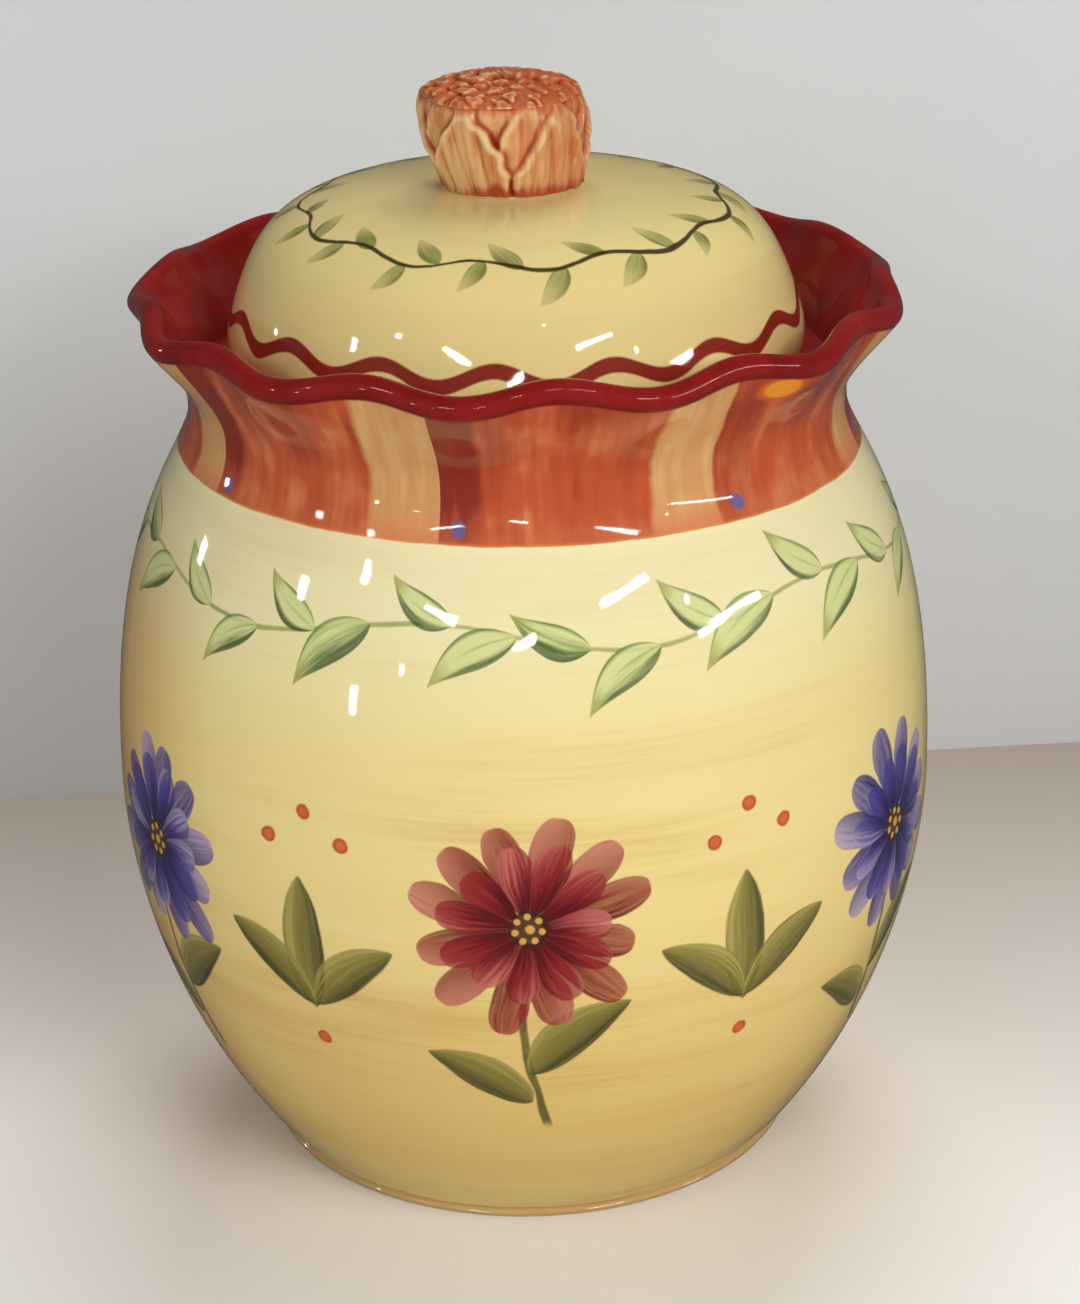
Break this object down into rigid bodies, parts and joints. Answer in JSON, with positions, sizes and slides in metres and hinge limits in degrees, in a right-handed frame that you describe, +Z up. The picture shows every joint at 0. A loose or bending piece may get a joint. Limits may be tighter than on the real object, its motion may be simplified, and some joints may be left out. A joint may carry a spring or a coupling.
{
  "type": "biscuit jar",
  "caption": "Round-bellied glazed stoneware biscuit jar with a waisted neck, ruffled pie-crust lip and a lift-off domed lid with a modelled knob.",
  "frame": {"origin": "middle of the foot, on the surface the jar stands on", "axes": "+Z up along the jar's axis, -Y towards the front, +X to the viewer's right"},
  "size_m": [0.1916, 0.1916, 0.2539],
  "materials": {
    "jar_glaze": "glossy yellow glaze over brushed underglaze painting, dark red lip and lining",
    "lid_glaze": "glossy yellow glaze with a painted dark red wavy line",
    "knob_glaze": "glossy burnt-orange wash over ochre, darker in the folds"
  },
  "bodies": {
    "jar": {"jar_body": "jar_glaze"},
    "lid": {"lid": "lid_glaze", "lid_knob": "knob_glaze"}
  },
  "joints": [
    {"name": "lid_lift", "type": "slide", "parent": "jar", "child": "lid", "axis": [0, 0, 1], "range_m": [0, 0.06]}
  ]
}
